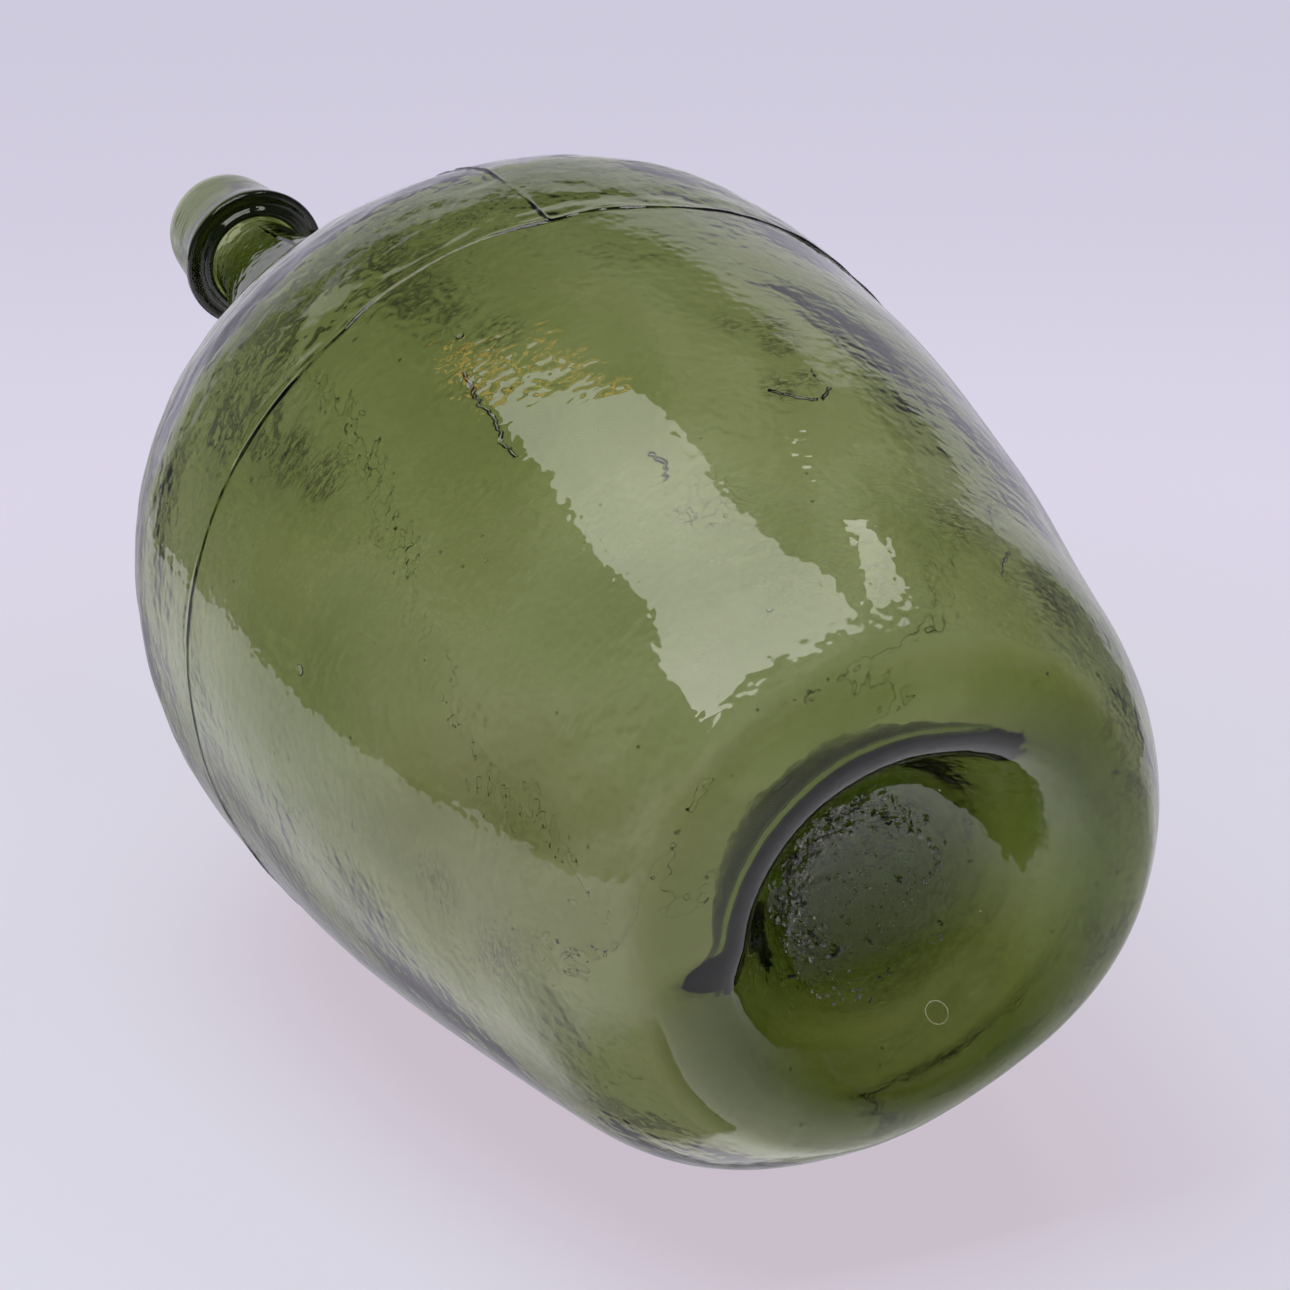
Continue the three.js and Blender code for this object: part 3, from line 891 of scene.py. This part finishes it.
def new_material(name):
    m = bpy.data.materials.new(name)
    m.use_nodes = True
    return m, Nodes(m.node_tree)


ABSORB = (160.0, 138.0, 274.0)  # per metre, red green blue


def absorption(g, scale=1.0):
    most = max(ABSORB) * scale * 1.02
    col = tuple(1 - c * scale / most for c in ABSORB) + (1,)
    return g.add("ShaderNodeVolumeAbsorption", _Color=col, _Density=most)


def spot_at(az, z, inset=0.0):
    p, _ = wall_spot(az, z, inset)
    return tuple(p * MM)


def ring_dirt(g, vec, height):
    """Dark residue in the cracks of the broken ring under the base, laid along it."""
    flat = g.add(
        "ShaderNodeVectorMath", operation="SUBTRACT", _0=vec,
        _1=(SCAR_AT[0] * MM, SCAR_AT[1] * MM, 0.0),
    )
    parts = g.add("ShaderNodeSeparateXYZ", None, _Vector=flat)
    x, y = parts.outputs[0], parts.outputs[1]
    r = g.math("SQRT", g.math("ADD", g.math("MULTIPLY", x, x), g.math("MULTIPLY", y, y)))
    turn = g.math("ARCTAN2", y, x)
    polar = g.add(
        "ShaderNodeCombineXYZ", _X=g.math("MULTIPLY", turn, 0.0082), _Y=r, _Z=parts.outputs[2],
    )
    strokes = g.ramp(g.noise(polar, 900.0, 3.0, 0.68), 0.500, 0.57)
    ring = g.ramp(g.math("ABSOLUTE", g.math("SUBTRACT", r, 0.0190)), 0.0040, 0.0125, 1.0, 0.0)
    way = g.math("COSINE", g.math("ADD", turn, 0.84))
    side = g.ramp(way, -0.7, 0.6, 0.35, 1.0)
    under = g.ramp(height, 0.0335, 0.0345, 1.0, 0.0)
    mask = g.math("MULTIPLY", g.math("MULTIPLY", ring, side), under)
    return g.math("MULTIPLY", g.math("MULTIPLY", strokes, mask), 0.92)


def body_glass():
    m, g = new_material("olive_blown_glass")
    vec = g.add("ShaderNodeTexCoord", 3)
    height = g.add("ShaderNodeSeparateXYZ", 2, _Vector=vec)
    # colour that the skin takes off: specks, films of dried residue, hair cracks
    tint = g.noise(vec, 9.0, 0.0, 0.55)
    dots = g.add("ShaderNodeTexVoronoi", 0, _Vector=vec, _Scale=74.0)
    speck = g.ramp(dots, 0.022, 0.055, 1.0, 0.0)
    smudge = None
    for az, z, rad, gain in (
        (9.3, 128.9, 0.010, 1.0), (7.5, 120.0, 0.009, 0.9), (3.0, 130.0, 0.009, 0.6),
        (3.0, 100.0, 0.009, 0.7), (8.0, 104.0, 0.008, 0.6),
        (-55.5, 181.0, 0.014, 0.8), (-54.7, 164.0, 0.014, 0.8), (-24.5, 158.0, 0.013, 0.6),
        (-27.0, 175.0, 0.006, 0.9), (19.5, 47.0, 0.020, 0.5), (34.0, 29.0, 0.020, 0.7),
        (29.0, 60.0, 0.014, 0.5), (55.0, 12.0, 0.018, 0.7), (68.0, 8.0, 0.014, 0.7),
        (-102.0, 52.0, 0.020, 0.5), (-95.0, 74.0, 0.016, 0.4),
    ):
        one = g.math("MULTIPLY", g.near(vec, spot_at(az, z, 1.5), rad), gain)
        smudge = one if smudge is None else g.math("MAXIMUM", smudge, one)
    strokes = g.noise(g.mapped(vec, (1.0, 1.0, 2.6)), 330.0, 2.0, 0.68)
    smudge = g.math("MULTIPLY", g.ramp(smudge, 0.05, 0.55), g.ramp(strokes, 0.47, 0.60))
    # hair cracks: thin level lines of a noise, only near the bruised places
    line = g.noise(vec, 150.0, 1.0, 0.6)
    line = g.math("ABSOLUTE", g.math("SUBTRACT", line, 0.5))
    line = g.ramp(line, 0.0, 0.010, 1.0, 0.0)
    crack = None
    for az, z, rad in ((4.5, 100.0, 0.013), (-31.0, 144.0, 0.012), (-18.0, 68.0, 0.018),
                       (8.0, 120.0, 0.012)):
        one = g.near(vec, spot_at(az, z, 1.0), rad)
        crack = one if crack is None else g.math("MAXIMUM", crack, one)
    crack = g.math("MULTIPLY", g.ramp(crack, 0.15, 0.6), line)
    dark = g.math("MAXIMUM", g.math("MULTIPLY", smudge, 0.66), g.math("MULTIPLY", crack, 0.85))
    dark = g.math("MAXIMUM", dark, g.math("MULTIPLY", speck, 0.85))
    dark = g.math("MAXIMUM", dark, ring_dirt(g, vec, height))
    col = g.mix(g.ramp(tint, 0.3, 0.7), (0.985, 0.985, 0.955, 1), (0.955, 0.975, 0.95, 1))
    col = g.mix(dark, col, (0.075, 0.065, 0.045, 1))
    # roughness: clean, with worn and greasy places, most on the heel and ring
    grease = g.ramp(g.noise(vec, 21.0, 1.0, 0.6), 0.56, 0.80, 0.0, 0.045)
    worn = g.ramp(height, 0.0, 0.02, 1.0, 0.0)
    worn = g.math("MULTIPLY", worn, g.ramp(g.noise(vec, 300.0, 1.0, 0.7), 0.50, 0.75, 0.0, 0.14))
    scratch = g.noise(g.mapped(vec, (60, 4, 900), (3, 1, 2)), 1.6, 0.0, 0.5)
    scratch = g.ramp(scratch, 0.70, 0.74, 0.0, 0.10)
    rough = g.math("MAXIMUM", g.math("MAXIMUM", grease, worn), scratch)
    # fine relief, millimetres
    above = g.ramp(height, 0.198, 0.204, 0.135, 0.190)
    peel = g.noise(g.mapped(vec, (1.0, 1.0, 1.15)), 205.0, 1.0, 0.42)
    ripple = g.math("MULTIPLY", g.math("SUBTRACT", peel, 0.5), above)
    pricks = g.noise(vec, 390.0, 0.0, 0.5)
    ripple = g.math("ADD", ripple, g.math("MULTIPLY", g.math("SUBTRACT", pricks, 0.5), 0.044))
    bump = g.add("ShaderNodeBump", _Strength=1.0, _Distance=0.001, _Height=ripple)
    p = g.add(
        "ShaderNodeBsdfPrincipled", None, _Base_Color=col, _Roughness=rough, _Normal=bump,
        _IOR=1.50, _Metallic=0.0,
    )
    p.inputs["Transmission Weight"].default_value = 1.0
    out = g.add("ShaderNodeOutputMaterial", None, _Surface=p.outputs[0], _Volume=absorption(g))
    return m


def collar_glass():
    m, g = new_material("olive_tooled_glass")
    vec = g.add("ShaderNodeTexCoord", 3)
    streak = g.noise(g.mapped(vec, (1, 1, 6)), 60.0, 3.0, 0.55)
    col = g.mix(g.ramp(streak, 0.35, 0.7), (0.98, 0.98, 0.955, 1), (0.93, 0.955, 0.91, 1))
    rough = g.ramp(g.noise(vec, 90.0, 3.0, 0.6), 0.45, 0.8, 0.012, 0.075)
    tool = g.noise(g.mapped(vec, (0.35, 0.35, 3.0)), 260.0, 3.0, 0.55)
    fine = g.noise(vec, 700.0, 2.0, 0.5)
    h = g.math(
        "ADD", g.math("MULTIPLY", g.math("SUBTRACT", tool, 0.5), 0.05),
        g.math("MULTIPLY", g.math("SUBTRACT", fine, 0.5), 0.010),
    )
    bump = g.add("ShaderNodeBump", _Strength=1.0, _Distance=0.001, _Height=h)
    p = g.add(
        "ShaderNodeBsdfPrincipled", None, _Base_Color=col, _Roughness=rough, _Normal=bump,
        _IOR=1.50, _Metallic=0.0,
    )
    p.inputs["Transmission Weight"].default_value = 1.0
    g.add("ShaderNodeOutputMaterial", None, _Surface=p.outputs[0], _Volume=absorption(g, 0.85))
    return m


def scar_glass():
    m, g = new_material("broken_pontil_glass")
    vec = g.add("ShaderNodeTexCoord", 3)
    grain = g.noise(vec, 900.0, 2.0, 0.65)
    patches = g.noise(vec, 210.0, 1.0, 0.6)
    col = g.mix(g.ramp(grain, 0.35, 0.65), (0.80, 0.81, 0.77, 1), (0.42, 0.43, 0.36, 1))
    col = g.mix(g.ramp(patches, 0.50, 0.62), col, (0.07, 0.065, 0.055, 1))
    rough = g.ramp(grain, 0.3, 0.7, 0.05, 0.40)
    bump = g.add(
        "ShaderNodeBump", _Strength=1.0, _Distance=0.001,
        _Height=g.math("MULTIPLY", g.math("SUBTRACT", grain, 0.5), 0.10),
    )
    p = g.add(
        "ShaderNodeBsdfPrincipled", None, _Base_Color=col, _Roughness=rough, _Normal=bump,
        _IOR=1.50, _Metallic=0.0,
    )
    p.inputs["Transmission Weight"].default_value = 0.72
    g.add("ShaderNodeOutputMaterial", None, _Surface=p.outputs[0], _Volume=absorption(g, 1.0))
    return m


body.data.materials.append(body_glass())
collar.data.materials.append(collar_glass())
scar.data.materials.append(scar_glass())

# ------------------------------------------------------------ studio, camera
CAM_AT = np.array([534.896, -488.012, -843.167])
RIGHT = np.array([0.043822, 0.907367, -0.41805])
UP = np.array([0.902219, 0.143765, 0.406612])
FWD = np.array([-0.429047, 0.39499, 0.812343])
FLOOR_N = np.array([0.994551, 0.0, 0.104253])  # up, where the bottle lies on its side
ENV_R = np.array([0.043822, 0.907367, -0.41805])
ENV_F = np.cross(FLOOR_N, ENV_R)
if ENV_F @ FWD < 0:
    ENV_F = -ENV_F

cam_data = bpy.data.cameras.new("camera")
cam = bpy.data.objects.new("camera", cam_data)
bpy.context.scene.collection.objects.link(cam)
cam_data.sensor_width = 36.0
cam_data.sensor_fit = "AUTO"
cam_data.lens = 36.0 * 4500.0 / PHOTO
cam_data.clip_start, cam_data.clip_end = 0.01, 60.0
m = Matrix.Identity(4)
for i in range(3):
    m[i][0], m[i][1], m[i][2] = RIGHT[i], UP[i], -FWD[i]
    m[i][3] = CAM_AT[i] * MM
cam.matrix_world = m
bpy.context.scene.camera = cam

# the pale floor that the bottle lies on, tangent to its side
bv = np.zeros(len(body.data.vertices) * 3, np.float32)
body.data.vertices.foreach_get("co", bv)
bv = bv.reshape(-1, 3)
touch = float((bv @ FLOOR_N).min()) - 0.0002
mid = np.array([0.0, 0.0, 0.19])
mid = mid - FLOOR_N * (float(mid @ FLOOR_N) - touch)


def disc(name, centre, x_axis, y_axis, radius, rings=24, segs=96):
    pts = [centre]
    for k in range(1, rings + 1):
        t = np.arange(segs) * 2 * math.pi / segs
        r = radius * k / rings
        pts.append(centre + np.outer(r * np.cos(t), x_axis) + np.outer(r * np.sin(t), y_axis))
    v = np.vstack([np.reshape(q, (-1, 3)) for q in pts])
    faces = [(0, 1 + j, 1 + (j + 1) % segs) for j in range(segs)]
    for k in range(rings - 1):
        a0, b0 = 1 + k * segs, 1 + (k + 1) * segs
        faces += [
            (a0 + j, b0 + j, b0 + (j + 1) % segs, a0 + (j + 1) % segs) for j in range(segs)
        ]
    me = bpy.data.meshes.new(name)
    me.from_pydata([tuple(q) for q in v], [], faces)
    ob = bpy.data.objects.new(name, me)
    bpy.context.scene.collection.objects.link(ob)
    return ob


FLOOR_FILL = (0.565, 0.487, 0.565)


def floor_material(name, centre, inner, outer, colour):
    m, g = new_material(name)
    pos = g.add("ShaderNodeNewGeometry", 0)
    d = g.add("ShaderNodeVectorMath", 1, operation="DISTANCE", _0=pos, _1=tuple(centre))
    edge = g.ramp(d, inner, outer, 1.0, 0.0)
    front = g.math("SUBTRACT", 1.0, g.add("ShaderNodeNewGeometry", 6))
    fac = g.math("MULTIPLY", edge, front)
    fleck = g.noise(pos, 900.0, 2.0, 0.6)
    col = g.mix(g.ramp(fleck, 0.2, 0.8), colour, tuple(c * 0.985 for c in colour[:3]) + (1,))
    dif = g.add("ShaderNodeBsdfDiffuse", _Color=col)
    fill = g.add("ShaderNodeEmission", _Color=tuple(FLOOR_FILL) + (1,), _Strength=1.0)
    dif = g.add("ShaderNodeAddShader", _0=dif, _1=fill)
    clear = g.add("ShaderNodeBsdfTransparent")
    mix = g.add("ShaderNodeMixShader", _0=fac, _1=clear, _2=dif)
    g.add("ShaderNodeOutputMaterial", None, _Surface=mix)
    return m


FLOOR_COL = (0.20, 0.30, 0.33, 1)  # the part that catches the lamp and the shadow
axis_y = np.cross(FLOOR_N, ENV_R)
floor = disc("studio_floor", mid, ENV_R, axis_y, 0.62)
floor.data.materials.append(floor_material("floor_paper", mid, 0.26, 0.56, FLOOR_COL))
face_n = floor.data.polygons[0].normal
if np.array(face_n) @ FLOOR_N < 0:
    floor.data.flip_normals()
floor.visible_glossy = False  # reflections of the floor come from the world below

shelf = disc("upright_floor", np.array([0, 0, -0.0004]), np.array([1.0, 0, 0]), np.array([0, 1.0, 0]), 0.5)
shelf.data.materials.append(
    floor_material("shelf_paper", (0, 0, 0), 0.22, 0.46, FLOOR_COL)
)
if shelf.data.polygons[0].normal.z < 0:
    shelf.data.flip_normals()
shelf.visible_diffuse = shelf.visible_glossy = shelf.visible_transmission = False
shelf.visible_shadow = False
shelf.visible_volume_scatter = False


# softbox, placed by where its reflection falls on the wall
def emitter(name, corners, colour, strength, fade=None):
    me = bpy.data.meshes.new(name)
    me.from_pydata([tuple(c) for c in corners], [], [(0, 1, 2, 3)])
    ob = bpy.data.objects.new(name, me)
    bpy.context.scene.collection.objects.link(ob)
    n = np.cross(np.array(corners[1]) - corners[0], np.array(corners[3]) - corners[0])
    if n @ (np.array([0, 0, 0.18]) - corners[0]) < 0:
        me.flip_normals()
    m, g = new_material(name + "_cloth")
    back = g.add("ShaderNodeNewGeometry", 6)
    if fade:  # weaker at its first corner than at the fourth
        start, way, weak = fade
        d_ = g.add("ShaderNodeVectorMath", operation="SUBTRACT",
                   _0=g.add("ShaderNodeNewGeometry", 0), _1=tuple(start))
        d_ = g.add("ShaderNodeVectorMath", 1, operation="DOT_PRODUCT", _0=d_,
                   _1=tuple(way / float(way @ way)))
        strength = g.ramp(d_, 0.0, 1.0, weak, strength, "LINEAR")
    on = g.math("MULTIPLY", g.math("SUBTRACT", 1.0, back), strength)
    e = g.add("ShaderNodeEmission", _Color=colour, _Strength=on)
    g.add("ShaderNodeOutputMaterial", None, _Surface=e)
    me.materials.append(m)
    ob.visible_camera = False
    ob.visible_transmission = False
    return ob


SOFT = [
    ((93.8, -60.8, 139.2), (0.701, -0.332, 0.631)),
    ((102.2, -31.5, 111.5), (0.803, 0.036, 0.595)),
    ((75.0, -13.3, 15.3), (0.980, 0.189, -0.069)),
    ((59.0, -53.2, 20.9), (0.741, -0.664, -0.104)),
]


def on_plane(spots, reach):
    pts = [np.array(p) * MM for p, _ in spots]
    dirs = [np.array(d) / np.linalg.norm(d) for _, d in spots]
    n = sum(dirs)
    n /= np.linalg.norm(n)
    c = np.array([0.0, 0.0, 0.1]) + n * reach
    return [p + d * float((c - p) @ n) / float(d @ n) for p, d in zip(pts, dirs)]


soft_corners = on_plane(SOFT, 1.15)
C1, C2, C3, C4 = soft_corners
across, down = C2 - C1, C4 - C1
emitter("softbox", soft_corners, (1.0, 0.985, 0.97, 1), 5.5, (C1, down, 2.7))
# thin warm strips along the softbox's upper edge
for k, (u0, u1, v0, v1, thick) in enumerate((
    (-0.02, 1.03, -0.014, -0.014, 0.011), (-0.17, 0.34, -0.020, -0.038, 0.010),
    (-0.15, 0.16, -0.066, -0.074, 0.012), (0.52, 1.0, -0.040, -0.034, 0.006),
)):
    lo0, lo1 = C1 + across * u0 + down * v0, C1 + across * u1 + down * v1
    emitter(
        "warm_strip_%d" % (k + 1), [lo0 - down * thick, lo1 - down * thick, lo1, lo0],
        (1.0, 0.50, 0.10, 1), 3.1,
    )
STRIP = [
    ((90.7, -4.5, 47.1), (0.793, 0.378, 0.477)),
    ((90.5, 3.1, 46.2), (0.731, 0.482, 0.484)),
    ((77.6, 0.8, 17.6), (0.887, 0.461, 0.026)),
    ((75.7, -8.8, 15.2), (0.958, 0.282, -0.05)),
]
emitter("strip_lamp", on_plane(STRIP, 1.3), (1.0, 0.985, 0.95, 1), 3.8)

# the world: pale for the camera, a directional studio for everything else
world = bpy.data.worlds.new("studio")
bpy.context.scene.world = world
world.use_nodes = True
g = Nodes(world.node_tree)
d = g.add("ShaderNodeTexCoord", 0)


def dot(axis):
    return g.add("ShaderNodeVectorMath", 1, operation="DOT_PRODUCT", _0=d, _1=tuple(axis))


sin_el = dot(FLOOR_N)
el = g.math("MULTIPLY", g.math("ARCSINE", sin_el), 57.29578)
az = g.math("MULTIPLY", g.math("ARCTAN2", dot(ENV_R), dot(ENV_F)), 57.29578)
top = g.ramp(el, -30.0, -20.0)
cam_col = g.mix(top, (0.672, 0.645, 0.765, 1), (0.728, 0.686, 0.823, 1))
cam_col = g.mix(g.ramp(el, -20.0, -11.5), cam_col, (0.620, 0.595, 0.725, 1))
cam_col = g.mix(g.ramp(el, -11.5, 30.0), cam_col, (0.680, 0.655, 0.780, 1))
room = (0.10, 0.097, 0.106, 1)
bright_floor = (0.74, 0.71, 0.80, 1)
mirrored_floor = (1.06, 1.03, 1.14, 1)
backdrop = (0.70, 0.675, 0.79, 1)
far_side = g.math("ADD", g.ramp(az, 72.0, 82.0), g.ramp(az, -105.0, -150.0))
edge = g.math("ADD", g.math("MULTIPLY", far_side, 25.0), -12.0)
on_floor = g.ramp(g.math("SUBTRACT", el, edge), -0.25, 0.25, 1.0, 0.0)
low = g.ramp(el, 31.0, 35.0, 1.0, 0.0)
from_left = g.ramp(az, -47.0, -43.0)
right_end = g.ramp(el, 16.0, 21.0, 32.0, 20.5, "LINEAR")
to_right = g.ramp(g.math("SUBTRACT", az, right_end), -0.5, 2.5, 1.0, 0.0)
wall = g.math("MULTIPLY", g.math("MULTIPLY", from_left, to_right), low)
paths = g.add("ShaderNodeLightPath", None)
lp, through = paths.outputs["Is Camera Ray"], paths.outputs["Is Transmission Ray"]
left_room = g.math("MULTIPLY", g.ramp(az, -75.0, -50.0), g.ramp(el, 24.0, 30.0, 1.0, 0.0))
room = g.mix(left_room, room, (0.26, 0.25, 0.28, 1))
env = g.mix(wall, room, backdrop)
shade = g.ramp(el, -56.0, -44.0, 0.20, 1.0)
shade = g.math("MULTIPLY", shade, g.ramp(az, -42.0, -24.0, 1.0, 0.42))
seen_floor = g.mix(shade, (0.0, 0.0, 0.0, 1), mirrored_floor)
seen_floor = g.mix(g.ramp(az, 0.0, 30.0), seen_floor, bright_floor)
# towards the lamps the floor is brightest close in front and fades with distance
near_lamps = g.math("ADD", g.ramp(az, 46.0, 66.0), g.ramp(az, -118.0, -128.0))
in_front = g.math("MULTIPLY", g.ramp(el, -48.0, -56.0), g.ramp(az, -34.0, -16.0))
near_lamps = g.math("MAXIMUM", near_lamps, in_front)
fall = g.ramp(el, -62.0, 24.0, 1.45, 0.0, "LINEAR")
lit = g.mix(fall, (0.0, 0.0, 0.0, 1), (1.0, 0.98, 1.03, 1))
for n_ in g.t.nodes:
    if n_.type == "MIX":
        n_.clamp_factor = False
on_floor = g.math("MAXIMUM", on_floor, g.math("MULTIPLY", near_lamps, g.ramp(el, 22.0, 26.0, 1.0, 0.0)))
seen_floor = g.mix(near_lamps, seen_floor, lit)
seen_floor = g.mix(through, seen_floor, bright_floor)
env = g.mix(on_floor, env, seen_floor)
col = g.mix(lp, env, cam_col)
bg = g.add("ShaderNodeBackground", _Color=col, _Strength=1.0)
g.add("ShaderNodeOutputWorld", None, _Surface=bg)

world.cycles.sampling_method = "NONE"
sc = bpy.context.scene
sc.view_settings.view_transform = "Standard"
sc.view_settings.look = "None"
sc.view_settings.exposure = 0.0
sc.view_settings.gamma = 1.0
cy = sc.cycles
cy.max_bounces = 28
cy.transmission_bounces = 28
cy.glossy_bounces = 16
cy.diffuse_bounces = 4
cy.transparent_max_bounces = 16
cy.volume_bounces = 0
cy.caustics_reflective = True
cy.caustics_refractive = True
cy.blur_glossy = 0.3
cy.sample_clamp_indirect = 6.0
cy.use_denoising = True
